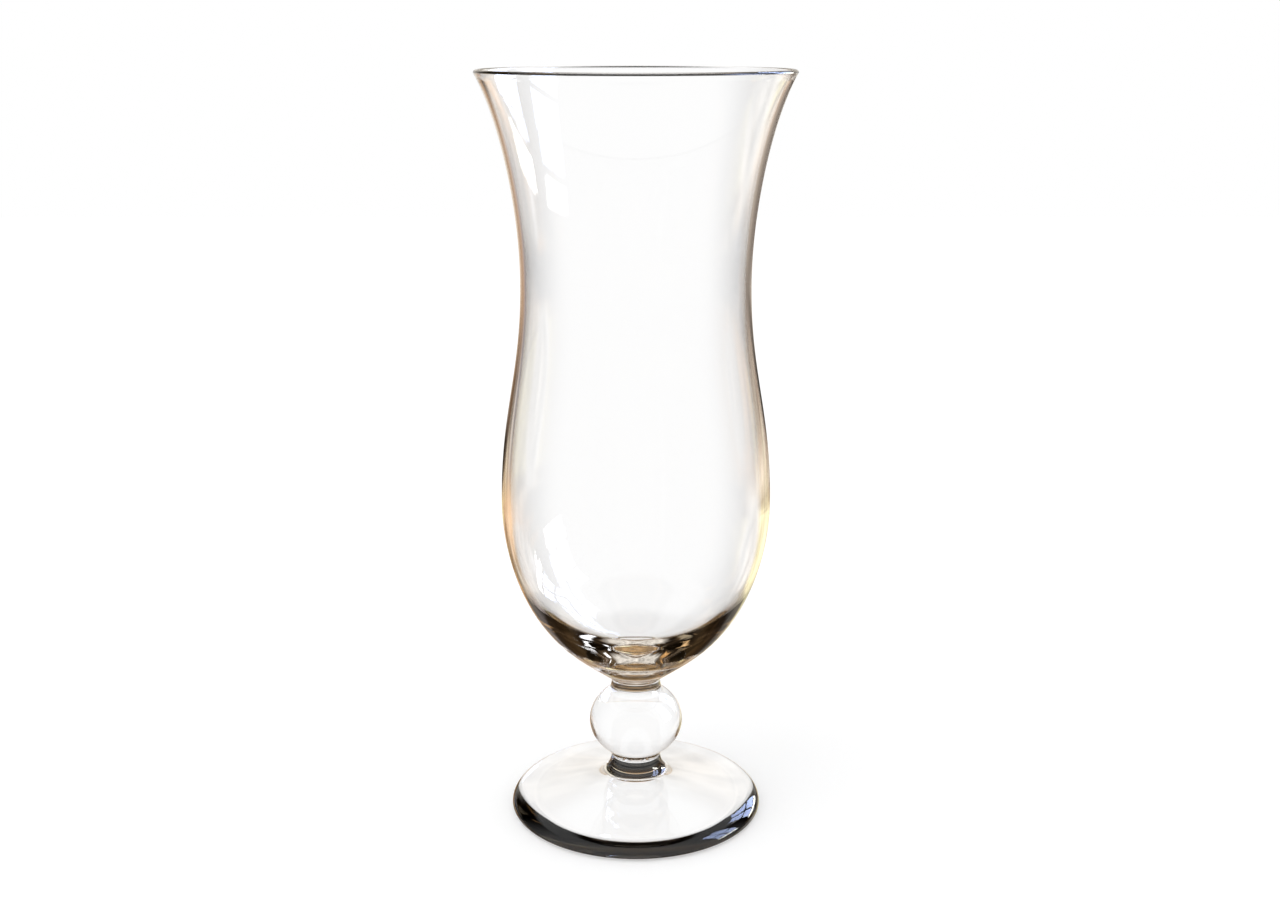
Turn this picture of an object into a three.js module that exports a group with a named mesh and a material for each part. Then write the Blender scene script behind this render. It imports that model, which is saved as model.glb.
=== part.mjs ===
// A footed beer glass: a flared, waisted bowl on a short stem with a ball knop, and a coned foot.
// Every piece is a solid of revolution about +Z, in millimetres. The origin is the centre of the
// plane that the foot rests on. The glassmaker fuses the five gathers hot, one on top of another,
// so each pair meets face to face on a flat round seat.

import * as THREE from 'three';

// How finely round shapes are drawn
const roundSegments = 48;
const curveSteps = 8;
const shortCurveSteps = 4;

// Foot: a pressed disc with a rounded edge, coned on top and coned hollow underneath
const footRadius = 35.5;
const footHeight = 10.4;
const footEdgeHeight = 1.2;
const footEdgeInset = 2.85;
const footEdgePull = 2.05;
const footShoulderRadius = 31.7;
const footShoulderHeight = 5;
const footShoulderRun = 1.2;
const footShoulderRise = 0.22;
const footConeRun = 5.9;
const footConeRise = 1.1;
const footSeatRun = 1.5;
const footSeatRise = 0.32;
const hollowRadius = 29;
const hollowDepth = 5.05;
const hollowTopPull = 9;
const hollowEdgePull = 3;

// Lower collar: the flared ring that joins the knop to the foot
const lowerCollarHeight = 6.9;
const lowerCollarRadius = 9.4;
const lowerCollarWaistHeight = 4.95;
const lowerCollarFlareRun = 1.8;
const lowerCollarFlareRise = 0.38;
const lowerCollarWaistPull = 0.8;
const lowerCollarSeatPull = 0.2;

// Ball knop: a flattened ball, cut flat where the two collars are fused to it
const knopRadius = 13.1;
const knopHalfHeight = 11;
const knopLowerSeatRadius = 8.3;
const knopUpperSeatRadius = 7.7;

// Upper collar: the short neck between the knop and the bowl
const upperCollarHeight = 3.8;

// Both necks draw in to this radius
const neckRadius = 6.85;

// Bowl, measured up from its seat on the upper collar
const bowlHeight = 167.4;
const bowlBaseRadius = 19.05;
const bowlBaseHeight = 9.5;
const bowlBaseRun = 15.4;
const bowlBaseRise = 13.35;
const bowlNeckPull = 0.45;
const bowlNeckRun = 4.9;
const bowlNeckRise = 4.25;
const bellyRadius = 36.75;
const bellyHeight = 52.1;
const bellyLowerPull = 8.75;
const bellyUpperPull = 25.45;
const waistRadius = 30.65;
const waistHeight = 113.05;
const waistLowerPull = 25;
const waistUpperPull = 20.5;
const rimRadius = 41.65;
const rimRun = 5.75;
const rimRise = 10.3;

// Bowl wall: thinnest at the waist, with a rounded lip and a heavy base under a deep rounded floor
const lipThickness = 1.6;
const waistThickness = 1.45;
const bellyThickness = 2.2;
const bellyInnerPull = 7.7;
const heelRadius = 23.9;
const heelHeight = 19.6;
const heelUpperRun = 9.15;
const heelUpperRise = 7.15;
const heelLowerRun = 8.15;
const heelLowerRise = 6.35;
const floorHeight = 5.6;
const floorPull = 9.8;

// Derived places. The knop's seats lie where its ellipse has shrunk to the seat radii.
const knopLowerRise = knopHalfHeight * Math.sqrt(1 - (knopLowerSeatRadius / knopRadius) ** 2);
const knopUpperRise = knopHalfHeight * Math.sqrt(1 - (knopUpperSeatRadius / knopRadius) ** 2);
const lowerCollarBottom = footHeight;
const knopCentre = lowerCollarBottom + lowerCollarHeight + knopLowerRise;
const upperCollarBottom = knopCentre + knopUpperRise;
const bowlBottom = upperCollarBottom + upperCollarHeight;

// A point of an outline: its distance from the axis and its height.
function at(radius, height) {
  return new THREE.Vector2(radius, height);
}

// Points along a curve with two handles, from start to end, without the start point itself.
function bend(start, startHandle, endHandle, end, steps = curveSteps) {
  const curve = new THREE.CubicBezierCurve(start, startHandle, endHandle, end);
  return curve.getPoints(steps).slice(1);
}

// Points along an upright ellipse's outline between two angles, both ends included.
function ellipseArc(centre, radiusAcross, radiusUp, startAngle, endAngle, steps) {
  const clockwise = endAngle < startAngle;
  const curve = new THREE.EllipseCurve(
    centre.x, centre.y, radiusAcross, radiusUp, startAngle, endAngle, clockwise,
  );
  return curve.getPoints(steps);
}

// Turns an outline about the axis. The outline runs from the axis, up the outside, back to the axis.
function turned(name, outline, material) {
  const geometry = new THREE.LatheGeometry(outline, roundSegments);
  geometry.rotateX(Math.PI / 2);
  const mesh = new THREE.Mesh(geometry, material);
  mesh.name = name;
  return mesh;
}

// Clear soda-lime glass, as smooth as it comes from the fire
function clearGlass() {
  return new THREE.MeshStandardMaterial({
    color: 0xf3f2ee, roughness: 0.03, metalness: 0, transparent: true, opacity: 0.35,
  });
}

// The foot rests on a flat ring near its edge. Inside the ring the underside is a shallow hollow cone.
function makeFoot() {
  const restRadius = footRadius - footEdgeInset;
  const hollowTop = at(0, hollowDepth);
  const edge = ellipseArc(
    at(restRadius, footEdgeHeight), footEdgeInset, footEdgeHeight, -Math.PI / 2, 0, shortCurveSteps,
  );
  const widest = at(footRadius, footEdgeHeight);
  const shoulder = at(footShoulderRadius, footShoulderHeight);
  const seatEdge = at(lowerCollarRadius, footHeight);
  const outline = [
    hollowTop,
    ...bend(
      hollowTop,
      at(hollowTopPull, hollowDepth),
      at(hollowRadius - hollowEdgePull, 0),
      at(hollowRadius, 0),
    ),
    ...edge,
    ...bend(
      widest,
      at(footRadius, footEdgeHeight + footEdgePull),
      at(footShoulderRadius + footShoulderRun, footShoulderHeight - footShoulderRise),
      shoulder,
      shortCurveSteps,
    ),
    ...bend(
      shoulder,
      at(footShoulderRadius - footConeRun, footShoulderHeight + footConeRise),
      at(lowerCollarRadius + footSeatRun, footHeight - footSeatRise),
      seatEdge,
    ),
    at(0, footHeight),
  ];
  return turned('foot', outline, clearGlass());
}

// The lower collar sweeps in from its flared edge to the neck and out again to the knop's seat.
function makeLowerCollar() {
  const flaredEdge = at(lowerCollarRadius, 0);
  const neck = at(neckRadius, lowerCollarWaistHeight);
  const seatEdge = at(knopLowerSeatRadius, lowerCollarHeight);
  const seatHandle = at(neckRadius, lowerCollarWaistHeight + lowerCollarSeatPull);
  const outline = [
    at(0, 0),
    flaredEdge,
    ...bend(
      flaredEdge,
      at(lowerCollarRadius - lowerCollarFlareRun, lowerCollarFlareRise),
      at(neckRadius, lowerCollarWaistHeight - lowerCollarWaistPull),
      neck,
      shortCurveSteps,
    ),
    ...bend(neck, seatHandle, seatHandle, seatEdge, shortCurveSteps),
    at(0, lowerCollarHeight),
  ];
  const collar = turned('lower_collar', outline, clearGlass());
  collar.position.z = lowerCollarBottom;
  return collar;
}

// The knop is turned about its own centre and then placed at its height on the stem.
function makeBallKnop() {
  const lowerAngle = -Math.asin(knopLowerRise / knopHalfHeight);
  const upperAngle = Math.asin(knopUpperRise / knopHalfHeight);
  const outline = [
    at(0, -knopLowerRise),
    ...ellipseArc(
      at(0, 0), knopRadius, knopHalfHeight, lowerAngle, upperAngle, curveSteps + shortCurveSteps,
    ),
    at(0, knopUpperRise),
  ];
  const knop = turned('ball_knop', outline, clearGlass());
  knop.position.z = knopCentre;
  return knop;
}

// The upper collar draws in from the knop's seat to the neck, where the bowl's base begins.
function makeUpperCollar() {
  const seatEdge = at(knopUpperSeatRadius, 0);
  const middleHandle = at(neckRadius, upperCollarHeight / 2);
  const outline = [
    at(0, 0),
    seatEdge,
    ...bend(seatEdge, middleHandle, middleHandle, at(neckRadius, upperCollarHeight), shortCurveSteps),
    at(0, upperCollarHeight),
  ];
  const collar = turned('upper_collar', outline, clearGlass());
  collar.position.z = upperCollarBottom;
  return collar;
}

// The bowl's outline climbs the outside, rounds the lip and comes back down the inside.
function makeBowl() {
  const seatEdge = at(neckRadius, 0);
  const base = at(bowlBaseRadius, bowlBaseHeight);
  const belly = at(bellyRadius, bellyHeight);
  const waist = at(waistRadius, waistHeight);
  const lipRadius = lipThickness / 2;
  const lipCentre = at(rimRadius - lipRadius, bowlHeight - lipRadius);
  const rim = at(rimRadius, lipCentre.y);
  const innerRim = at(rimRadius - lipThickness, lipCentre.y);
  const innerWaist = at(waistRadius - waistThickness, waistHeight);
  const innerBelly = at(bellyRadius - bellyThickness, bellyHeight);
  const heel = at(heelRadius, heelHeight);
  const floor = at(0, floorHeight);
  const lip = ellipseArc(lipCentre, lipRadius, lipRadius, 0, Math.PI, shortCurveSteps);
  const outline = [
    at(0, 0),
    seatEdge,
    ...bend(
      seatEdge,
      at(neckRadius, bowlNeckPull),
      at(bowlBaseRadius - bowlNeckRun, bowlBaseHeight - bowlNeckRise),
      base,
    ),
    ...bend(
      base,
      at(bowlBaseRadius + bowlBaseRun, bowlBaseHeight + bowlBaseRise),
      at(bellyRadius, bellyHeight - bellyLowerPull),
      belly,
    ),
    ...bend(
      belly,
      at(bellyRadius, bellyHeight + bellyUpperPull),
      at(waistRadius, waistHeight - waistLowerPull),
      waist,
    ),
    ...bend(
      waist,
      at(waistRadius, waistHeight + waistUpperPull),
      at(rimRadius - rimRun, lipCentre.y - rimRise),
      rim,
    ),
    ...lip.slice(1),
    ...bend(
      innerRim,
      at(innerRim.x - rimRun, innerRim.y - rimRise),
      at(innerWaist.x, waistHeight + waistUpperPull),
      innerWaist,
    ),
    ...bend(
      innerWaist,
      at(innerWaist.x, waistHeight - waistLowerPull),
      at(innerBelly.x, bellyHeight + bellyUpperPull),
      innerBelly,
    ),
    ...bend(
      innerBelly,
      at(innerBelly.x, bellyHeight - bellyInnerPull),
      at(heelRadius + heelUpperRun, heelHeight + heelUpperRise),
      heel,
    ),
    ...bend(
      heel,
      at(heelRadius - heelLowerRun, heelHeight - heelLowerRise),
      at(floorPull, floorHeight),
      floor,
      shortCurveSteps,
    ),
  ];
  const bowl = turned('bowl', outline, clearGlass());
  bowl.position.z = bowlBottom;
  return bowl;
}

const glass = new THREE.Group();
glass.add(makeFoot(), makeLowerCollar(), makeBallKnop(), makeUpperCollar(), makeBowl());

export default glass;
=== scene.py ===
"""Looks of a footed beer glass: a flared, waisted bowl on a short stem with a ball knop and a coned foot.

The five gathers of glass are turned again here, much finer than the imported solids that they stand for.
Light has to pass through the whole glass as through one body, as it does once the gathers are fused, so
the flat seats where two gathers meet let it straight through, and only the free surface bends it.
"""

import logging
import math
from dataclasses import dataclass, field
from enum import Enum

import bmesh
import bpy
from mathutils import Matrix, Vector
from mathutils.geometry import interpolate_bezier

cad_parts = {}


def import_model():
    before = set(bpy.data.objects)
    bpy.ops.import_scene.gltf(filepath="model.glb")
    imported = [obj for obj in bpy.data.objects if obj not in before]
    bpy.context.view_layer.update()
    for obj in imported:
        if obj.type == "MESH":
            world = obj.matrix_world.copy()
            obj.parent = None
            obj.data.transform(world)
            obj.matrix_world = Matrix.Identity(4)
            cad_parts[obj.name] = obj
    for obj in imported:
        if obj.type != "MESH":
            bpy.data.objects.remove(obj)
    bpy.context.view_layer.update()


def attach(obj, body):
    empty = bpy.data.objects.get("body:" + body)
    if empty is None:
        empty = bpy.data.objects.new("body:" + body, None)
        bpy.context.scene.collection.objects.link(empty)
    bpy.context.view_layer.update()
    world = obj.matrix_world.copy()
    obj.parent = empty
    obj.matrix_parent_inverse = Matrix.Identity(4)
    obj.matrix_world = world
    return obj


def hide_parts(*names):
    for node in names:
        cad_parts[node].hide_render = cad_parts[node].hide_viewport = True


LOG = logging.getLogger("beer_glass")

MM = 0.001
FULL_TURN = math.tau
STRAIGHT_UP = 90.0
TURN_STEPS = 256
CURVE_STEPS = 24
EDGE_STEPS = 16
SEAT_STEPS = 12
BALL_STEPS = 64
MERGE_DISTANCE = 0.0001 * MM
FLAT_TOLERANCE = 0.001 * MM
REFLECTED_DEPTH = 0.5
BLACK = (0.0, 0.0, 0.0, 1.0)
WHITE = (1.0, 1.0, 1.0, 1.0)
ROOT_BODY = "root"


class Slot(Enum):
    """The material slots."""

    BLOWN = "blown_glass"
    STEM = "stem_glass"
    PRESSED = "pressed_glass"


class Face(Enum):
    """Which finish a face of a gather takes."""

    SURFACE = 0
    SEAT = 1
    # The foot's underside, which takes painted shade.
    UNDERSIDE = 2
    # The lip's outer half, which takes a painted dark line of shade.
    LIP_PAINTED_SHADE = 3


class NodeBench:
    """Adds and links shader nodes in one node tree."""

    def __init__(self, tree: bpy.types.NodeTree, keep: bool = False) -> None:
        """Takes a node tree.

        Args:
            tree: The node tree of a material or of the world.
            keep: Whether its nodes stay. Otherwise it is emptied first.
        """
        self.tree = tree
        if not keep:
            tree.nodes.clear()

    def add(self, kind: str, **settings: object) -> bpy.types.Node:
        """Adds a node and sets its properties.

        Args:
            kind: The node's type name.
            settings: Properties of the node, by name.

        Returns:
            The new node.
        """
        node = self.tree.nodes.new(kind)
        for name, value in settings.items():
            setattr(node, name, value)
        return node

    def link(self, source: bpy.types.NodeSocket, target: bpy.types.NodeSocket) -> None:
        """Joins an output to an input."""
        self.tree.links.new(source, target)

    def feed(self, target: bpy.types.NodeSocket, value: object) -> None:
        """Puts a plain value on an input, or joins an output to it.

        Args:
            target: The input.
            value: A number, a colour or another node's output.
        """
        if isinstance(value, bpy.types.NodeSocket):
            self.link(value, target)
        else:
            target.default_value = value

    def math(self, operation: str, *values: object) -> bpy.types.NodeSocket:
        """Adds a Math node.

        Args:
            operation: Blender's name of the sum.
            values: Its inputs, each a number or another node's output.

        Returns:
            The node's output.
        """
        node = self.add("ShaderNodeMath", operation=operation)
        for socket, value in zip(node.inputs, values):
            self.feed(socket, value)
        return node.outputs[0]

    def between(self, value: object, low: float, high: float, softness: float) -> bpy.types.NodeSocket:
        """Gives 1 where a value lies between two limits and 0 outside them, with soft edges.

        Args:
            value: The value to test.
            low: Where the rise is half way.
            high: Where the fall is half way.
            softness: The width of each edge.

        Returns:
            The output with the soft step.
        """
        rise = self.ramp(value, low - softness / 2, low + softness / 2, 0.0, 1.0)
        fall = self.ramp(value, high - softness / 2, high + softness / 2, 1.0, 0.0)
        return self.math("MULTIPLY", rise, fall)

    def ramp(
        self,
        value: object,
        low: float,
        high: float,
        at_low: float,
        at_high: float,
        kind: str = "SMOOTHSTEP",
    ) -> bpy.types.NodeSocket:
        """Adds a Map Range node.

        Args:
            value: The value to map.
            low: The value that gives at_low.
            high: The value that gives at_high.
            at_low: The result at and below low.
            at_high: The result at and above high.
            kind: Blender's name of the rise between them.

        Returns:
            The mapped output.
        """
        node = self.add("ShaderNodeMapRange", interpolation_type=kind)
        names = ("Value", "From Min", "From Max", "To Min", "To Max")
        for name, given in zip(names, (value, low, high, at_low, at_high)):
            self.feed(node.inputs[name], given)
        return node.outputs["Result"]

    def blend(self, share: object, first: object, second: object) -> bpy.types.NodeSocket:
        """Mixes two colours.

        Args:
            share: How much of the second colour shows, from 0 to 1.
            first: The first colour.
            second: The second colour.

        Returns:
            The mixed colour's output.
        """
        node = self.add("ShaderNodeMix", data_type="RGBA")
        self.feed(node.inputs["Factor"], share)
        self.feed(node.inputs["A"], first)
        self.feed(node.inputs["B"], second)
        return node.outputs["Result"]


@dataclass(frozen=True)
class GlassFinish:
    """Clear glass, smooth from the fire, with the faint waviness that forming leaves."""

    name: str
    refraction: float = 1.5
    tint: tuple[float, float, float] = (1.0, 1.0, 1.0)
    roughness: float = 0.0
    wave_length: float = 9 * MM
    wave_detail: float = 1.0
    wave_height: float = 0.004 * MM
    wave_strength: float = 0.03

    def material(self) -> bpy.types.Material:
        """Makes the material.

        Returns:
            A glass whose surface normal is stirred by a faint noise that stays with the object.
        """
        made = bpy.data.materials.new(self.name)
        made.use_nodes = True
        bench = NodeBench(made.node_tree)
        place = bench.add("ShaderNodeTexCoord")
        noise = bench.add("ShaderNodeTexNoise")
        noise.inputs["Scale"].default_value = 1 / self.wave_length
        noise.inputs["Detail"].default_value = self.wave_detail
        bench.link(place.outputs["Object"], noise.inputs["Vector"])
        bump = bench.add("ShaderNodeBump")
        bump.inputs["Strength"].default_value = self.wave_strength
        bump.inputs["Distance"].default_value = self.wave_height
        bench.link(noise.outputs["Fac"], bump.inputs["Height"])
        shader = bench.add("ShaderNodeBsdfPrincipled")
        shader.inputs["Base Color"].default_value = (*self.tint, 1.0)
        shader.inputs["Roughness"].default_value = self.roughness
        shader.inputs["IOR"].default_value = self.refraction
        shader.inputs["Transmission Weight"].default_value = 1.0
        bench.link(bump.outputs["Normal"], shader.inputs["Normal"])
        output = bench.add("ShaderNodeOutputMaterial")
        bench.link(shader.outputs["BSDF"], output.inputs["Surface"])
        return made


@dataclass(frozen=True)
class UndersidePaintedShadeFinish(GlassFinish):
    """Clear glass with painted shade: a black matt shader takes in most of the light that runs along inside
    it, where that light meets the surface at a grazing angle.
    """

    shade_share: float = 0.93
    flat_fresnel: float = 0.99

    def material(self) -> bpy.types.Material:
        """Makes the material.

        Returns:
            The clear glass, which loses to painted shade part of the light that it would turn back inwards
            whole.
        """
        made = super().material()
        bench = NodeBench(made.node_tree, keep=True)
        output = next(node for node in made.node_tree.nodes if node.bl_idname == "ShaderNodeOutputMaterial")
        glass = output.inputs["Surface"].links[0].from_socket
        glance = bench.add("ShaderNodeFresnel")
        glance.inputs["IOR"].default_value = self.refraction
        flat = bench.math("GREATER_THAN", glance.outputs["Fac"], self.flat_fresnel)
        # Painted shade: a black matt shader takes most of the light that meets the surface at a grazing
        # angle from inside.
        painted_shade_bsdf = bench.add("ShaderNodeBsdfDiffuse")
        painted_shade_bsdf.inputs["Color"].default_value = BLACK
        mix = bench.add("ShaderNodeMixShader")
        bench.link(bench.math("MULTIPLY", flat, self.shade_share), mix.inputs["Fac"])
        bench.link(glass, mix.inputs[1])
        bench.link(painted_shade_bsdf.outputs["BSDF"], mix.inputs[2])
        bench.link(mix.outputs["Shader"], output.inputs["Surface"])
        return made


@dataclass(frozen=True)
class LipPaintedShadeFinish(GlassFinish):
    """The rounded lip: clear glass with a thin dark line painted all round its outer side, a painted shade
    that stands for the dark refraction at the lip.
    """

    # Height, width, edge and colour of the painted dark line of shade.
    painted_line_height: float = 0.0
    painted_line_width: float = 0.5 * MM
    painted_line_softness: float = 0.15 * MM
    painted_line_colour: tuple[float, float, float] = (0.0005, 0.0004, 0.0003)

    def material(self) -> bpy.types.Material:
        """Makes the material.

        Returns:
            The clear glass, painted dark in a narrow ring as painted shade.
        """
        made = super().material()
        bench = NodeBench(made.node_tree, keep=True)
        shader = next(node for node in made.node_tree.nodes if node.bl_idname == "ShaderNodeBsdfPrincipled")
        place = bench.add("ShaderNodeTexCoord")
        parts = bench.add("ShaderNodeSeparateXYZ")
        bench.link(place.outputs["Object"], parts.inputs["Vector"])
        low = self.painted_line_height - self.painted_line_width / 2
        high = self.painted_line_height + self.painted_line_width / 2
        # Painted shade: the base colour turns dark in a narrow band of height.
        painted_line = bench.between(parts.outputs["Z"], low, high, self.painted_line_softness)
        colour = bench.blend(painted_line, (*self.tint, 1.0), (*self.painted_line_colour, 1.0))
        bench.link(colour, shader.inputs["Base Color"])
        return made


@dataclass(frozen=True)
class FusedFinish:
    """The flat seat where two gathers are fused, which light crosses without bending."""

    name: str = "fused_seat"

    def material(self) -> bpy.types.Material:
        """Makes the material.

        Returns:
            A plain Transparent shader.
        """
        made = bpy.data.materials.new(self.name)
        made.use_nodes = True
        bench = NodeBench(made.node_tree)
        clear = bench.add("ShaderNodeBsdfTransparent")
        output = bench.add("ShaderNodeOutputMaterial")
        bench.link(clear.outputs["BSDF"], output.inputs["Surface"])
        return made


@dataclass
class Outline:
    """Half a section through a gather: points in millimetres, from the axis round the outside and back."""

    points: list[Vector] = field(default_factory=list)

    def line_to(self, radius: float, height: float) -> "Outline":
        """Adds a point at a distance from the axis and a height, and returns the outline."""
        self.points.append(Vector((radius, 0.0, height)))
        return self

    def bend_to(
        self,
        start_handle: tuple[float, float],
        end_handle: tuple[float, float],
        end: tuple[float, float],
        steps: int = CURVE_STEPS,
    ) -> "Outline":
        """Adds a curve with two handles that starts at the last point.

        Args:
            start_handle: The first handle, as radius and height.
            end_handle: The second handle.
            end: The curve's end.
            steps: How many short lines draw the curve.

        Returns:
            The outline.
        """
        knots = [Vector((radius, 0.0, height)) for radius, height in (start_handle, end_handle, end)]
        self.points.extend(interpolate_bezier(self.points[-1], *knots, steps + 1)[1:])
        return self

    def arc_to(
        self,
        centre: tuple[float, float],
        radii: tuple[float, float],
        start_angle: float,
        end_angle: float,
        steps: int = CURVE_STEPS,
    ) -> "Outline":
        """Adds part of an upright ellipse, without its first point.

        Args:
            centre: The ellipse's centre, as radius and height.
            radii: Its half width and half height.
            start_angle: Where it starts, in radians from straight outwards.
            end_angle: Where it ends.
            steps: How many short lines draw it.

        Returns:
            The outline.
        """
        for step in range(1, steps + 1):
            angle = start_angle + (end_angle - start_angle) * step / steps
            self.line_to(centre[0] + radii[0] * math.cos(angle), centre[1] + radii[1] * math.sin(angle))
        return self


@dataclass
class Gather:
    """One gather of glass, turned about the upright axis."""

    bottom: float = 0.0

    node: str = field(default="", init=False)
    slot: Slot = field(default=Slot.STEM, init=False)
    lower_seat: bool = field(default=True, init=False)
    upper_seat: bool = field(default=True, init=False)

    def outline(self) -> Outline:
        """The gather's section, with heights above its own bottom."""
        raise NotImplementedError

    @property
    def height(self) -> float:
        """How far the gather's upper seat lies above its bottom."""
        raise NotImplementedError

    @property
    def top(self) -> float:
        """The height of the upper seat above the table, where the next gather starts."""
        return self.bottom + self.height

    def seat_heights(self) -> list[float]:
        """The heights above the table of the flat seats that are fused to a neighbour."""
        return [self.bottom] * self.lower_seat + [self.top] * self.upper_seat

    def build(self, finishes: dict[Face, bpy.types.Material]) -> bpy.types.Object:
        """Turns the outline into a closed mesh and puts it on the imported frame.

        Args:
            finishes: The material of each kind of face.

        Returns:
            The new object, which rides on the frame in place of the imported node.
        """
        mesh = bpy.data.meshes.new(f"{self.node}_glass")
        for face in Face:
            mesh.materials.append(finishes[face])
        shape = bmesh.new()
        self.turn(shape)
        self.mark_seats(shape)
        self.mark_finishes(shape)
        shape.to_mesh(mesh)
        shape.free()
        piece = bpy.data.objects.new(f"{self.node}_glass", mesh)
        bpy.context.scene.collection.objects.link(piece)
        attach(piece, ROOT_BODY)
        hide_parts(self.node)
        return piece

    def turn(self, shape: bmesh.types.BMesh) -> None:
        """Spins the outline through a full turn and closes it at the axis.

        Args:
            shape: The empty mesh to fill.
        """
        lift = Vector((0.0, 0.0, self.bottom))
        points = [shape.verts.new((point + lift) * MM) for point in self.outline().points]
        lines = [shape.edges.new(pair) for pair in zip(points, points[1:])]
        bmesh.ops.spin(
            shape,
            geom=points + lines,
            cent=(0.0, 0.0, 0.0),
            axis=(0.0, 0.0, 1.0),
            angle=FULL_TURN,
            steps=TURN_STEPS,
            use_merge=True,
        )
        bmesh.ops.remove_doubles(shape, verts=shape.verts, dist=MERGE_DISTANCE)
        bmesh.ops.recalc_face_normals(shape, faces=shape.faces)

    def mark_seats(self, shape: bmesh.types.BMesh) -> None:
        """Gives the flat seats the fused finish and keeps their rims crisp.

        Args:
            shape: The turned mesh.
        """
        heights = [height * MM for height in self.seat_heights()]
        for face in shape.faces:
            face.smooth = True
            for height in heights:
                if max(abs(corner.co.z - height) for corner in face.verts) < FLAT_TOLERANCE:
                    face.material_index = Face.SEAT.value
        for edge in shape.edges:
            seats = [face.material_index == Face.SEAT.value for face in edge.link_faces]
            edge.smooth = all(seats) or not any(seats)

    def mark_finishes(self, shape: bmesh.types.BMesh) -> None:
        """Gives the faces that look different their own finish. Most gathers have none."""


@dataclass
class Foot(Gather):
    """The pressed foot: a thick coned disc, hollow underneath, that rests on a flat ring near its edge."""

    radius: float = 35.5
    height_at_seat: float = 10.4
    seat_radius: float = 9.4
    edge_height: float = 1.2
    edge_inset: float = 2.85
    edge_pull: float = 2.05
    shoulder: tuple[float, float] = (31.7, 5.0)
    shoulder_handle: tuple[float, float] = (32.9, 4.78)
    cone_handle: tuple[float, float] = (25.8, 6.1)
    seat_handle: tuple[float, float] = (10.9, 10.08)
    hollow_radius: float = 29.0
    hollow_depth: float = 5.05
    hollow_top_pull: float = 9.0
    hollow_edge_pull: float = 3.0
    # From this radius out, the underside takes the painted shade.
    painted_shade_from: float = 11.0
    underside_normal: float = -0.05

    def __post_init__(self) -> None:
        """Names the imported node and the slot."""
        self.node = "foot"
        self.slot = Slot.PRESSED
        self.lower_seat = False

    @property
    def height(self) -> float:
        """The height of the seat for the lower collar."""
        return self.height_at_seat

    def mark_finishes(self, shape: bmesh.types.BMesh) -> None:
        """Gives the rest ring and the outer part of the hollow the finish with painted shade.

        Args:
            shape: The turned mesh.
        """
        for face in shape.faces:
            radius = face.calc_center_median().xy.length
            if face.normal.z < self.underside_normal and radius > self.painted_shade_from * MM:
                face.material_index = Face.UNDERSIDE.value

    def outline(self) -> Outline:
        """Draws the foot's section.

        Returns:
            The section, from the top of the hollow round the edge to the seat.
        """
        rest_radius = self.radius - self.edge_inset
        section = Outline().line_to(0.0, self.hollow_depth)
        section.bend_to(
            (self.hollow_top_pull, self.hollow_depth),
            (self.hollow_radius - self.hollow_edge_pull, 0.0),
            (self.hollow_radius, 0.0),
        )
        section.line_to(rest_radius, 0.0)
        section.arc_to(
            (rest_radius, self.edge_height),
            (self.edge_inset, self.edge_height),
            -math.pi / 2,
            0.0,
            EDGE_STEPS,
        )
        section.bend_to(
            (self.radius, self.edge_height + self.edge_pull),
            self.shoulder_handle,
            self.shoulder,
            EDGE_STEPS,
        )
        section.bend_to(self.cone_handle, self.seat_handle, (self.seat_radius, self.height))
        return section.line_to(0.0, self.height)


@dataclass
class LowerCollar(Gather):
    """The ring between foot and knop: it sweeps in from its flared edge to the neck and out to the knop."""

    flare_radius: float = 9.4
    flare_handle: tuple[float, float] = (7.6, 0.38)
    neck: tuple[float, float] = (6.85, 4.95)
    neck_pull: float = 0.8
    seat_pull: float = 0.2
    seat_radius: float = 8.3
    rise: float = 6.9

    def __post_init__(self) -> None:
        """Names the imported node."""
        self.node = "lower_collar"

    @property
    def height(self) -> float:
        """The height of the seat for the knop."""
        return self.rise

    def outline(self) -> Outline:
        """Draws the collar's section.

        Returns:
            The section, from the foot's seat to the knop's.
        """
        neck_radius, neck_height = self.neck
        above_neck = (neck_radius, neck_height + self.seat_pull)
        section = Outline().line_to(0.0, 0.0).line_to(self.flare_radius, 0.0)
        below_neck = (neck_radius, neck_height - self.neck_pull)
        section.bend_to(self.flare_handle, below_neck, self.neck, EDGE_STEPS)
        section.bend_to(above_neck, above_neck, (self.seat_radius, self.height), SEAT_STEPS)
        return section.line_to(0.0, self.height)


@dataclass
class BallKnop(Gather):
    """The solid ball in the stem, slightly flattened, with a flat seat below and above."""

    radius: float = 13.1
    half_height: float = 11.0
    lower_seat_radius: float = 8.3
    upper_seat_radius: float = 7.7

    def __post_init__(self) -> None:
        """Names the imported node."""
        self.node = "ball_knop"

    def seat_rise(self, seat_radius: float) -> float:
        """How far above or below the ball's centre a seat of a given radius lies."""
        return self.half_height * math.sqrt(1 - (seat_radius / self.radius) ** 2)

    @property
    def height(self) -> float:
        """The distance between the two seats."""
        return self.seat_rise(self.lower_seat_radius) + self.seat_rise(self.upper_seat_radius)

    def outline(self) -> Outline:
        """Draws the ball's section.

        Returns:
            The section, from the lower seat round the ball to the upper one.
        """
        lower_rise = self.seat_rise(self.lower_seat_radius)
        upper_rise = self.seat_rise(self.upper_seat_radius)
        section = Outline().line_to(0.0, 0.0).line_to(self.lower_seat_radius, 0.0)
        section.arc_to(
            (0.0, lower_rise),
            (self.radius, self.half_height),
            -math.asin(lower_rise / self.half_height),
            math.asin(upper_rise / self.half_height),
            BALL_STEPS,
        )
        return section.line_to(0.0, self.height)


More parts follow.
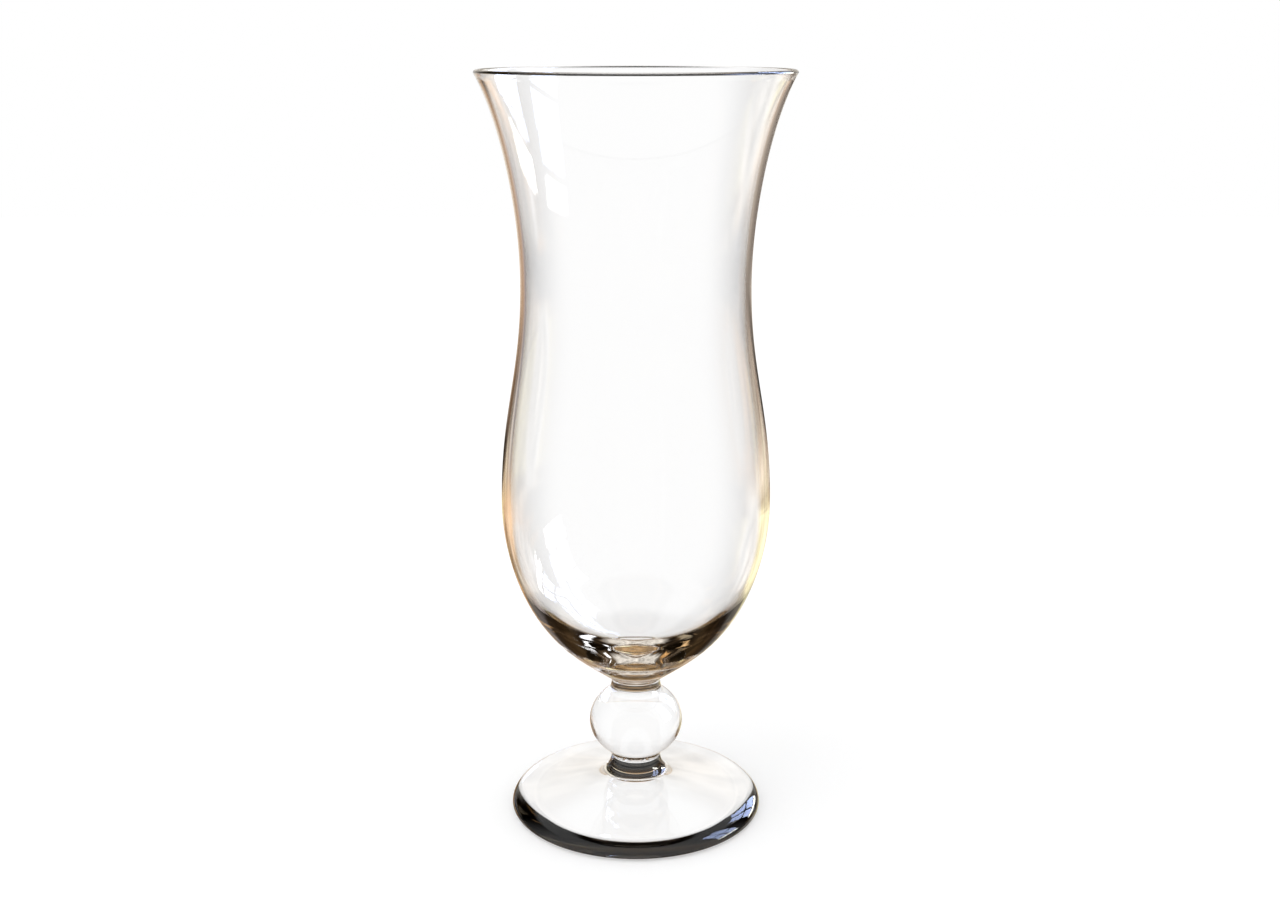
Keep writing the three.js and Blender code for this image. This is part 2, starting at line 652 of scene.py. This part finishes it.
@dataclass
class UpperCollar(Gather):
    """The short drawn-in neck between the knop and the bowl."""

    seat_radius: float = 7.7
    neck_radius: float = 6.85
    rise: float = 3.8

    def __post_init__(self) -> None:
        """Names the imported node."""
        self.node = "upper_collar"

    @property
    def height(self) -> float:
        """The height of the seat for the bowl."""
        return self.rise

    def outline(self) -> Outline:
        """Draws the collar's section.

        Returns:
            The section, from the knop's seat to the bowl's.
        """
        middle = (self.neck_radius, self.height / 2)
        section = Outline().line_to(0.0, 0.0).line_to(self.seat_radius, 0.0)
        section.bend_to(middle, middle, (self.neck_radius, self.height), SEAT_STEPS)
        return section.line_to(0.0, self.height)


@dataclass
class Bowl(Gather):
    """The blown bowl: a heavy base, a full belly, a waist and a flared rim with a fire-polished lip."""

    rise: float = 167.4
    neck_radius: float = 6.85
    neck_pull: float = 0.45
    base: tuple[float, float] = (19.05, 9.5)
    base_lower_run: tuple[float, float] = (4.9, 4.25)
    base_upper_run: tuple[float, float] = (15.4, 13.35)
    belly: tuple[float, float] = (36.75, 52.1)
    belly_pulls: tuple[float, float] = (8.75, 25.45)
    waist: tuple[float, float] = (30.65, 113.05)
    waist_pulls: tuple[float, float] = (25.0, 20.5)
    rim_radius: float = 41.65
    rim_run: tuple[float, float] = (5.75, 10.3)
    lip_wall: float = 1.6
    # How far above the centre of the lip's round the painted dark line of shade lies.
    painted_line_rise: float = 0.32
    waist_wall: float = 1.45
    belly_wall: float = 2.2
    belly_inner_pull: float = 7.7
    heel: tuple[float, float] = (23.9, 19.6)
    heel_upper_run: tuple[float, float] = (9.15, 7.15)
    heel_lower_run: tuple[float, float] = (8.15, 6.35)
    floor_height: float = 5.6
    floor_pull: float = 9.8

    def __post_init__(self) -> None:
        """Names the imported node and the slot."""
        self.node = "bowl"
        self.slot = Slot.BLOWN
        self.upper_seat = False

    @property
    def height(self) -> float:
        """The height of the rim's top."""
        return self.rise

    @property
    def lip_radius(self) -> float:
        """The radius of the lip's round."""
        return self.lip_wall / 2

    @property
    def painted_line_height(self) -> float:
        """The height above the table of the thin dark line painted round the lip as painted shade."""
        return self.top - self.lip_radius + self.painted_line_rise

    def mark_finishes(self, shape: bmesh.types.BMesh) -> None:
        """Gives the outer half of the lip the finish with the painted dark line of shade.

        Args:
            shape: The turned mesh.
        """
        inner_limit = (self.rim_radius - self.lip_radius) * MM
        lower_limit = (self.top - self.lip_radius - self.lip_wall) * MM
        for face in shape.faces:
            middle = face.calc_center_median()
            if middle.xy.length > inner_limit and middle.z > lower_limit:
                face.material_index = Face.LIP_PAINTED_SHADE.value

    def outline(self) -> Outline:
        """Draws the bowl's section.

        Returns:
            The section: up the outside, over the lip and down the inside to the floor.
        """
        lip_height = self.rise - self.lip_radius
        section = Outline().line_to(0.0, 0.0).line_to(self.neck_radius, 0.0)
        self.draw_outside(section, lip_height)
        section.arc_to(
            (self.rim_radius - self.lip_radius, lip_height),
            (self.lip_radius, self.lip_radius),
            0.0,
            math.pi,
            EDGE_STEPS,
        )
        self.draw_inside(section, lip_height)
        return section

    def draw_outside(self, section: Outline, lip_height: float) -> None:
        """Adds the outer side, from the neck to the rim.

        Args:
            section: The outline to extend.
            lip_height: Where the round of the lip starts.
        """
        base_radius, base_height = self.base
        belly_radius, belly_height = self.belly
        waist_radius, waist_height = self.waist
        section.bend_to(
            (self.neck_radius, self.neck_pull),
            (base_radius - self.base_lower_run[0], base_height - self.base_lower_run[1]),
            self.base,
        )
        section.bend_to(
            (base_radius + self.base_upper_run[0], base_height + self.base_upper_run[1]),
            (belly_radius, belly_height - self.belly_pulls[0]),
            self.belly,
        )
        section.bend_to(
            (belly_radius, belly_height + self.belly_pulls[1]),
            (waist_radius, waist_height - self.waist_pulls[0]),
            self.waist,
        )
        section.bend_to(
            (waist_radius, waist_height + self.waist_pulls[1]),
            (self.rim_radius - self.rim_run[0], lip_height - self.rim_run[1]),
            (self.rim_radius, lip_height),
        )

    def draw_inside(self, section: Outline, lip_height: float) -> None:
        """Adds the inner side, from the rim to the middle of the floor.

        Args:
            section: The outline to extend.
            lip_height: Where the round of the lip ends.
        """
        belly_height = self.belly[1]
        waist_height = self.waist[1]
        heel_radius, heel_height = self.heel
        inner_rim = self.rim_radius - self.lip_wall
        inner_waist = self.waist[0] - self.waist_wall
        inner_belly = self.belly[0] - self.belly_wall
        section.bend_to(
            (inner_rim - self.rim_run[0], lip_height - self.rim_run[1]),
            (inner_waist, waist_height + self.waist_pulls[1]),
            (inner_waist, waist_height),
        )
        section.bend_to(
            (inner_waist, waist_height - self.waist_pulls[0]),
            (inner_belly, belly_height + self.belly_pulls[1]),
            (inner_belly, belly_height),
        )
        section.bend_to(
            (inner_belly, belly_height - self.belly_inner_pull),
            (heel_radius + self.heel_upper_run[0], heel_height + self.heel_upper_run[1]),
            self.heel,
        )
        section.bend_to(
            (heel_radius - self.heel_lower_run[0], heel_height - self.heel_lower_run[1]),
            (self.floor_pull, self.floor_height),
            (0.0, self.floor_height),
        )


@dataclass(frozen=True)
class Window:
    """A window of four panes over a sunlit sill. Angles are in degrees, as seen from the glass."""

    azimuth: float
    half_width: float
    sill: float = 11.0
    head: float = 47.0
    bar: float = 2.4
    sill_depth: float = 5.0
    pane: tuple[float, float, float] = (5.6, 6.8, 10.5)
    sunlit: tuple[float, float, float] = (17.0, 17.0, 16.0)
    softness: float = 0.8

    def paint(
        self,
        bench: NodeBench,
        room: bpy.types.NodeSocket,
        azimuth: bpy.types.NodeSocket,
        elevation: bpy.types.NodeSocket,
    ) -> bpy.types.NodeSocket:
        """Puts the window into the room.

        Args:
            bench: The world's node bench.
            room: The room's colour so far.
            azimuth: The direction's azimuth.
            elevation: The direction's elevation.

        Returns:
            The colour with the window in it.
        """
        left = self.azimuth - self.half_width
        right = self.azimuth + self.half_width
        middle = (self.sill + self.head) / 2
        ledge_top = self.sill - self.bar
        across = bench.math(
            "ADD",
            bench.between(azimuth, left, self.azimuth - self.bar / 2, self.softness),
            bench.between(azimuth, self.azimuth + self.bar / 2, right, self.softness),
        )
        upright = bench.math(
            "ADD",
            bench.between(elevation, self.sill, middle - self.bar / 2, self.softness),
            bench.between(elevation, middle + self.bar / 2, self.head, self.softness),
        )
        panes = bench.math("MULTIPLY", across, upright)
        ledge = bench.math(
            "MULTIPLY",
            bench.between(azimuth, left, right, self.softness),
            bench.between(elevation, ledge_top - self.sill_depth, ledge_top, self.softness),
        )
        with_panes = bench.blend(panes, room, (*self.pane, 1.0))
        return bench.blend(ledge, with_panes, (*self.sunlit, 1.0))


@dataclass(frozen=True)
class Thing:
    """Something in the room, seen as a soft tilted oval of one colour. Angles are in degrees."""

    azimuth: float
    elevation: float
    half_width: float
    half_height: float
    colour: tuple[float, float, float]
    tilt: float = 0.0
    softness: float = 0.5

    def paint(
        self,
        bench: NodeBench,
        room: bpy.types.NodeSocket,
        azimuth: bpy.types.NodeSocket,
        elevation: bpy.types.NodeSocket,
    ) -> bpy.types.NodeSocket:
        """Puts the thing into the room.

        Args:
            bench: The world's node bench.
            room: The room's colour so far.
            azimuth: The direction's azimuth.
            elevation: The direction's elevation.

        Returns:
            The colour with the thing in it.
        """
        lean = math.radians(self.tilt)
        beside = bench.math("SUBTRACT", azimuth, self.azimuth)
        above = bench.math("SUBTRACT", elevation, self.elevation)
        along = bench.math(
            "ADD",
            bench.math("MULTIPLY", beside, math.cos(lean) / self.half_width),
            bench.math("MULTIPLY", above, math.sin(lean) / self.half_width),
        )
        across = bench.math(
            "SUBTRACT",
            bench.math("MULTIPLY", above, math.cos(lean) / self.half_height),
            bench.math("MULTIPLY", beside, math.sin(lean) / self.half_height),
        )
        squares = [bench.math("MULTIPLY", side, side) for side in (along, across)]
        distance = bench.math("SQRT", bench.math("ADD", *squares))
        share = bench.ramp(distance, 1.0 - self.softness, 1.0 + self.softness, 1.0, 0.0)
        return bench.blend(share, room, (*self.colour, 1.0))


@dataclass(frozen=True)
class Stripe:
    """A colour at one elevation of the room, in degrees above the horizon."""

    elevation: float
    colour: tuple[float, float, float]


WOODEN_FLOOR = (
    Stripe(-90, (0.45, 0.27, 0.12)),
    Stripe(-56, (0.50, 0.30, 0.13)),
    Stripe(-49, (0.20, 0.11, 0.045)),
)
DARK_WALL = (
    Stripe(2, (0.16, 0.10, 0.05)),
    Stripe(12, (0.06, 0.035, 0.016)),
    Stripe(24, (0.06, 0.035, 0.016)),
    Stripe(36, (0.16, 0.11, 0.06)),
)
PALE_CEILING = (
    Stripe(68, (0.09, 0.06, 0.035)),
    Stripe(74, (0.85, 0.64, 0.50)),
    Stripe(90, (0.90, 0.70, 0.55)),
)


@dataclass(frozen=True)
class Room:
    """What the glass stands in: a white backdrop, and round it the room that its reflections show.

    Angles are in degrees. Azimuth is 0 along +Y and grows towards +X. The room has a wooden floor, dark
    furniture along the walls and a pale ceiling. Light that was reflected once also sees the windows and
    finds the near side and a belt high on the walls open to the white. Light that was reflected more
    often sees only the dim room. An open part is given by its lowest and highest elevation and the
    softness of its edges.
    """

    backdrop: float = 1.0
    left: tuple[Stripe, ...] = (
        *WOODEN_FLOOR,
        Stripe(-41, (0.11, 0.07, 0.04)),
        Stripe(-36, (0.48, 0.41, 0.38)),
        Stripe(-29, (0.50, 0.42, 0.35)),
        Stripe(-23, (0.55, 0.38, 0.22)),
        Stripe(-17, (0.80, 0.50, 0.28)),
        Stripe(-15, (0.60, 0.45, 0.32)),
        Stripe(-13, (0.36, 0.29, 0.24)),
        Stripe(-9, (0.50, 0.29, 0.15)),
        Stripe(-4, (0.62, 0.56, 0.47)),
        *DARK_WALL,
        *PALE_CEILING,
    )
    right: tuple[Stripe, ...] = (
        *WOODEN_FLOOR,
        Stripe(-41, (0.10, 0.065, 0.04)),
        Stripe(-37, (0.34, 0.30, 0.26)),
        Stripe(-30, (0.48, 0.42, 0.33)),
        Stripe(-27, (1.20, 1.08, 0.70)),
        Stripe(-17, (1.25, 1.12, 0.72)),
        Stripe(-16, (0.42, 0.32, 0.22)),
        Stripe(-14.5, (0.95, 0.82, 0.66)),
        Stripe(-12, (0.72, 0.54, 0.42)),
        Stripe(-9.5, (0.28, 0.23, 0.19)),
        Stripe(-6, (0.10, 0.07, 0.05)),
        Stripe(-3, (0.70, 0.66, 0.58)),
        *DARK_WALL,
        *PALE_CEILING,
    )
    near: tuple[Stripe, ...] = (
        Stripe(-90, (0.50, 0.34, 0.18)),
        Stripe(-60, (0.42, 0.26, 0.12)),
        Stripe(-45, (0.16, 0.09, 0.04)),
        Stripe(-20, (0.20, 0.12, 0.06)),
        Stripe(0, (0.40, 0.26, 0.12)),
        Stripe(20, (0.36, 0.24, 0.12)),
        Stripe(45, (0.20, 0.13, 0.07)),
        *PALE_CEILING,
    )
    things: tuple[Thing, ...] = (
        Thing(0, -14, 9, 20, (0.58, 0.36, 0.16)),
        Thing(0, 14, 34, 24, (0.85, 0.78, 0.69), softness=0.25),
        Thing(27, 50, 8, 7, (0.60, 0.50, 0.40)),
        Thing(-27, 50, 8, 7, (0.60, 0.50, 0.40)),
        Thing(0, 1, 38, 4, (0.66, 0.64, 0.61), softness=0.4),
        Thing(-17, -13.7, 11, 1.7, (0.055, 0.038, 0.026), tilt=-8),
        Thing(-34, -12, 5, 2.5, (0.60, 0.54, 0.48)),
        Thing(-15, -17.2, 6, 0.9, (1.0, 0.85, 0.45), tilt=5),
        Thing(-35, -18, 7, 2.5, (1.0, 0.70, 0.46)),
        Thing(-19, -20.4, 10, 1.5, (0.15, 0.07, 0.02), tilt=-9),
        Thing(-12, -24.5, 6, 2.5, (0.95, 0.56, 0.26)),
        Thing(-33, -27, 6, 5, (0.55, 0.48, 0.40)),
        Thing(13, -11.5, 8, 1.8, (0.06, 0.05, 0.042), tilt=10),
        Thing(34, -10.5, 8, 1.6, (0.60, 0.50, 0.41)),
        Thing(-44, -7, 14, 5, (0.36, 0.36, 0.40)),
        Thing(14, -7, 8, 1.6, (0.10, 0.07, 0.055)),
        Thing(82, 27, 36, 32, (0.012, 0.007, 0.004), softness=0.15),
        Thing(94, 11, 11, 14, (0.50, 0.29, 0.12), softness=0.3),
        Thing(59, 9, 4, 15, (0.010, 0.006, 0.004)),
        Thing(59, -5, 8, 3, (0.85, 0.46, 0.18)),
        Thing(50, 11, 5, 15, (1.7, 1.7, 1.75), tilt=-12, softness=0.25),
        Thing(64, 41, 2.2, 13, (1.7, 1.7, 1.7), tilt=-8, softness=0.3),
        Thing(41, 35, 7, 1.5, (1.5, 1.45, 1.4), tilt=40, softness=0.4),
        Thing(42, 12, 4, 8, (0.012, 0.008, 0.005)),
        Thing(88, 57, 16, 4, (1.4, 1.4, 1.4)),
        Thing(-82, 27, 36, 32, (0.012, 0.007, 0.004), softness=0.15),
        Thing(-100, 15, 8, 15, (0.50, 0.29, 0.12), softness=0.4),
        Thing(-61, 6, 4, 15, (0.010, 0.006, 0.004)),
        Thing(-51, 14, 5, 12, (0.34, 0.27, 0.18), tilt=12, softness=0.25),
        Thing(-64, 40, 3, 12, (0.80, 0.50, 0.24), tilt=8, softness=0.4),
        Thing(-41, 34, 8, 2.5, (0.75, 0.40, 0.15), tilt=-40),
        Thing(-47, 24, 5, 8, (0.012, 0.008, 0.005)),
        Thing(-40, 10, 4, 6, (0.012, 0.008, 0.005)),
        Thing(58, -24, 15, 10, (1.20, 1.14, 1.05), softness=0.2),
        Thing(-56, -26, 13, 9, (0.85, 0.76, 0.68), softness=0.2),
        Thing(72, -9, 36, 4.5, (0.09, 0.08, 0.075), softness=0.3),
        Thing(-72, -9, 36, 4.5, (0.09, 0.08, 0.08), softness=0.3),
    )
    side_seam: float = 4.0
    near_from: tuple[float, float] = (60.0, 110.0)
    first_turn_limit: float = 1.5
    near_shade: float = 0.88
    shade_below: tuple[float, float] = (-62.0, -50.0)
    open_near: tuple[float, float, float] = (-57.0, 55.0, 10.0)
    open_belt: tuple[float, float, float] = (38.0, 62.0, 8.0)
    open_colour: tuple[float, float, float] = (0.92, 0.92, 0.92)
    patchiness: float = 0.5
    patch_scale: float = 7.0
    patch_limits: tuple[float, float] = (0.3, 0.7)
    windows: tuple[Window, ...] = (Window(47.0, 13.0, head=41.0), Window(91.0, 12.5))

    def build(self) -> bpy.types.World:
        """Makes the world.

        Returns:
            A world that is plain white to the camera and through the glass, and a room to reflections.
        """
        world = bpy.data.worlds.new("room")
        world.use_nodes = True
        bench = NodeBench(world.node_tree)
        rays = bench.add("ShaderNodeLightPath")
        room = bench.add("ShaderNodeBackground")
        bench.link(self.room_colour(bench, rays.outputs["Glossy Depth"]), room.inputs["Color"])
        plain = bench.add("ShaderNodeBackground")
        plain.inputs["Color"].default_value = WHITE
        plain.inputs["Strength"].default_value = self.backdrop
        reflected = bench.math("GREATER_THAN", rays.outputs["Glossy Depth"], REFLECTED_DEPTH)
        mix = bench.add("ShaderNodeMixShader")
        bench.link(reflected, mix.inputs["Fac"])
        bench.link(plain.outputs["Background"], mix.inputs[1])
        bench.link(room.outputs["Background"], mix.inputs[2])
        output = bench.add("ShaderNodeOutputWorld")
        bench.link(mix.outputs["Shader"], output.inputs["Surface"])
        return world

    def room_colour(self, bench: NodeBench, turns: bpy.types.NodeSocket) -> bpy.types.NodeSocket:
        """Paints the room by direction.

        Args:
            bench: The world's node bench.
            turns: How often the light was reflected on its way.

        Returns:
            The room's colour.
        """
        place = bench.add("ShaderNodeTexCoord")
        parts = bench.add("ShaderNodeSeparateXYZ")
        bench.link(place.outputs["Generated"], parts.inputs["Vector"])
        azimuth = bench.math("DEGREES", bench.math("ARCTAN2", parts.outputs["X"], parts.outputs["Y"]))
        elevation = bench.math("DEGREES", bench.math("ARCSINE", parts.outputs["Z"]))
        turned_away = bench.ramp(bench.math("ABSOLUTE", azimuth), *self.near_from, 0.0, 1.0)
        first_turn = bench.math("LESS_THAN", turns, self.first_turn_limit)
        below = bench.ramp(elevation, *self.shade_below, 1.0, 0.0)
        in_shade = bench.math("MULTIPLY", first_turn, bench.math("MAXIMUM", turned_away, below))
        walls = self.paint_walls(bench, azimuth, elevation, turned_away)
        dim_room = bench.blend(bench.math("MULTIPLY", in_shade, self.near_shade), walls, BLACK)
        for thing in self.things:
            dim_room = thing.paint(bench, dim_room, azimuth, elevation)
        dim_room = self.add_patches(bench, place.outputs["Generated"], dim_room)
        near_gap = bench.math("MULTIPLY", turned_away, bench.between(elevation, *self.open_near))
        gaps = bench.math("MAXIMUM", near_gap, bench.between(elevation, *self.open_belt))
        open_room = bench.blend(gaps, dim_room, (*self.open_colour, 1.0))
        for window in self.windows:
            open_room = window.paint(bench, open_room, azimuth, elevation)
        return bench.blend(first_turn, dim_room, open_room)

    def paint_walls(
        self,
        bench: NodeBench,
        azimuth: bpy.types.NodeSocket,
        elevation: bpy.types.NodeSocket,
        turned_away: bpy.types.NodeSocket,
    ) -> bpy.types.NodeSocket:
        """Joins the left, the right and the near side of the empty room.

        Args:
            bench: The world's node bench.
            azimuth: The direction's azimuth.
            elevation: The direction's elevation.
            turned_away: How much of the near side shows in that direction.

        Returns:
            The empty room's colour.
        """
        height = bench.ramp(elevation, -STRAIGHT_UP, STRAIGHT_UP, 0.0, 1.0, "LINEAR")
        left, right, near = (
            self.paint_stripes(bench, height, side) for side in (self.left, self.right, self.near)
        )
        rightwards = bench.ramp(azimuth, -self.side_seam, self.side_seam, 0.0, 1.0)
        return bench.blend(turned_away, bench.blend(rightwards, left, right), near)

    def add_patches(
        self, bench: NodeBench, direction: bpy.types.NodeSocket, room: bpy.types.NodeSocket
    ) -> bpy.types.NodeSocket:
        """Makes the room's colour uneven by a soft noise.

        Args:
            bench: The world's node bench.
            direction: The direction from the glass.
            room: The room's colour so far.

        Returns:
            The colour, lighter in some patches and darker in others.
        """
        noise = bench.add("ShaderNodeTexNoise")
        noise.inputs["Scale"].default_value = self.patch_scale
        bench.link(direction, noise.inputs["Vector"])
        lowest, highest = 1.0 - self.patchiness, 1.0 + self.patchiness
        patches = bench.ramp(noise.outputs["Fac"], *self.patch_limits, lowest, highest, "LINEAR")
        scaled = bench.add("ShaderNodeVectorMath", operation="SCALE")
        bench.link(room, scaled.inputs["Vector"])
        bench.link(patches, scaled.inputs["Scale"])
        return scaled.outputs["Vector"]

    def paint_stripes(
        self, bench: NodeBench, height: bpy.types.NodeSocket, stripes: tuple[Stripe, ...]
    ) -> bpy.types.NodeSocket:
        """Runs one side of the room through its colours, from straight down to straight up.

        Args:
            bench: The world's node bench.
            height: The direction's elevation, from 0 straight down to 1 straight up.
            stripes: The colours, the lowest first.

        Returns:
            The colour at that elevation.
        """
        ramp = bench.add("ShaderNodeValToRGB")
        band = ramp.color_ramp
        band.interpolation = "EASE"
        while len(band.elements) < len(stripes):
            band.elements.new(0.5)
        for element, stripe in zip(band.elements, stripes):
            element.position = (stripe.elevation + STRAIGHT_UP) / (2 * STRAIGHT_UP)
        for element, stripe in zip(band.elements, stripes):
            element.color = (*stripe.colour, 1.0)
        bench.link(height, ramp.inputs["Fac"])
        return ramp.outputs["Color"]


@dataclass(frozen=True)
class Table:
    """The plain pale floor under the glass."""

    half_side: float = 1.5
    air_gap: float = 0.08 * MM
    colour: tuple[float, float, float] = (0.8, 0.8, 0.8)
    camera_lift: float = 0.25

    def build(self) -> bpy.types.Object:
        """Makes the floor.

        Returns:
            A floor that keeps the shadow for the camera and gives way to the world for light that
            the glass bent or turned back.
        """
        mesh = bpy.data.meshes.new("table_top")
        shape = bmesh.new()
        bmesh.ops.create_grid(shape, x_segments=1, y_segments=1, size=self.half_side)
        bmesh.ops.translate(shape, verts=shape.verts, vec=(0.0, 0.0, -self.air_gap))
        shape.to_mesh(mesh)
        shape.free()
        mesh.materials.append(self.material())
        floor = bpy.data.objects.new("table_top", mesh)
        bpy.context.scene.collection.objects.link(floor)
        return floor

    def material(self) -> bpy.types.Material:
        """Makes the floor's material.

        Returns:
            A pale matt paint that the camera sees a little brighter and that bent light passes.
        """
        made = bpy.data.materials.new("pale_table")
        made.use_nodes = True
        bench = NodeBench(made.node_tree)
        rays = bench.add("ShaderNodeLightPath")
        paint = bench.add("ShaderNodeBsdfDiffuse")
        paint.inputs["Color"].default_value = (*self.colour, 1.0)
        lift = bench.add("ShaderNodeEmission")
        bench.link(
            bench.math("MULTIPLY", rays.outputs["Is Camera Ray"], self.camera_lift), lift.inputs["Strength"]
        )
        lit = bench.add("ShaderNodeAddShader")
        bench.link(paint.outputs["BSDF"], lit.inputs[0])
        bench.link(lift.outputs["Emission"], lit.inputs[1])
        gone = bench.add("ShaderNodeBsdfTransparent")
        reflected = bench.math("GREATER_THAN", rays.outputs["Glossy Depth"], REFLECTED_DEPTH)
        seen = bench.add("ShaderNodeMixShader")
        bench.link(bench.math("MAXIMUM", reflected, rays.outputs["Is Transmission Ray"]), seen.inputs["Fac"])
        bench.link(lit.outputs["Shader"], seen.inputs[1])
        bench.link(gone.outputs["BSDF"], seen.inputs[2])
        output = bench.add("ShaderNodeOutputMaterial")
        bench.link(seen.outputs["Shader"], output.inputs["Surface"])
        return made


@dataclass(frozen=True)
class SoftLamp:
    """The one soft studio lamp, which only draws the faint shadow on the floor."""

    place: tuple[float, float, float] = (-0.7, -0.5, 1.6)
    size: float = 1.2
    watts: float = 3.0

    def build(self) -> bpy.types.Object:
        """Makes the lamp and points it at the glass.

        Returns:
            The lamp's object, unseen in reflections.
        """
        light = bpy.data.lights.new("soft_lamp", "AREA")
        light.shape = "DISK"
        light.size = self.size
        light.energy = self.watts
        lamp = bpy.data.objects.new("soft_lamp", light)
        lamp.location = self.place
        lamp.rotation_euler = Vector(self.place).to_track_quat("Z", "Y").to_euler()
        lamp.visible_glossy = False
        lamp.visible_transmission = False
        lamp.visible_camera = False
        bpy.context.scene.collection.objects.link(lamp)
        return lamp


@dataclass(frozen=True)
class PhotoCamera:
    """A camera where the photographer stood: just above the rim, looking slightly down."""

    place: tuple[float, float, float] = (0.0, -0.4208, 0.21509)
    look_down: float = 14.91
    focal_pixels: float = 1594.5
    picture_width: int = 1280
    axis_pixel: float = 635.9
    sensor_width: float = 36.0
    nearest: float = 0.01

    def build(self) -> bpy.types.Object:
        """Makes the scene's camera.

        Returns:
            The camera's object.
        """
        data = bpy.data.cameras.new("photo_camera")
        data.sensor_width = self.sensor_width
        data.lens = self.focal_pixels / self.picture_width * self.sensor_width
        data.shift_x = (self.picture_width / 2 - self.axis_pixel) / self.picture_width
        data.clip_start = self.nearest
        camera = bpy.data.objects.new("photo_camera", data)
        camera.location = self.place
        camera.rotation_euler = (math.radians(STRAIGHT_UP - self.look_down), 0.0, 0.0)
        bpy.context.scene.collection.objects.link(camera)
        bpy.context.scene.camera = camera
        return camera


@dataclass(frozen=True)
class LightPaths:
    """How far light is followed, so that it can run the long way through solid glass."""

    in_all: int = 24
    through: int = 16
    reflected: int = 8
    past_seats: int = 32

    def apply(self, scene: bpy.types.Scene) -> None:
        """Sets the bounces, and the plain view transform that shows colours as they are written.

        Args:
            scene: The scene to set.
        """
        scene.view_settings.view_transform = "Standard"
        scene.cycles.max_bounces = self.in_all
        scene.cycles.transmission_bounces = self.through
        scene.cycles.glossy_bounces = self.reflected
        scene.cycles.transparent_max_bounces = self.past_seats


def stack_gathers() -> list[Gather]:
    """Stacks the five gathers from the table up.

    Returns:
        The gathers, each starting where the one below it ends.
    """
    foot = Foot()
    lower_collar = LowerCollar(bottom=foot.top)
    knop = BallKnop(bottom=lower_collar.top)
    upper_collar = UpperCollar(bottom=knop.top)
    bowl = Bowl(bottom=upper_collar.top)
    return [foot, lower_collar, knop, upper_collar, bowl]


def main() -> None:
    """Builds the camera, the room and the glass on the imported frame."""
    logging.basicConfig(level=logging.INFO, format="%(name)s: %(message)s")
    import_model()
    scene = bpy.context.scene
    LightPaths().apply(scene)
    PhotoCamera().build()
    scene.world = Room().build()
    Table().build()
    SoftLamp().build()
    gathers = stack_gathers()
    bowl = gathers[-1]
    surfaces = {slot: GlassFinish(slot.value).material() for slot in Slot}
    shared = {
        Face.SEAT: FusedFinish().material(),
        # The underside's finish darkens grazing light inside the foot with painted shade.
        Face.UNDERSIDE: UndersidePaintedShadeFinish("underside_painted_shade").material(),
        # The lip's finish carries a painted dark line, a painted shade for the lip's dark refraction.
        Face.LIP_PAINTED_SHADE: LipPaintedShadeFinish("lip_glass_painted_shade", painted_line_height=bowl.painted_line_height * MM).material(),
    }
    for gather in gathers:
        piece = gather.build({Face.SURFACE: surfaces[gather.slot], **shared})
        LOG.info("%s: %d faces, top at %.1f mm", piece.name, len(piece.data.polygons), gather.top)


if __name__ == "__main__":
    main()
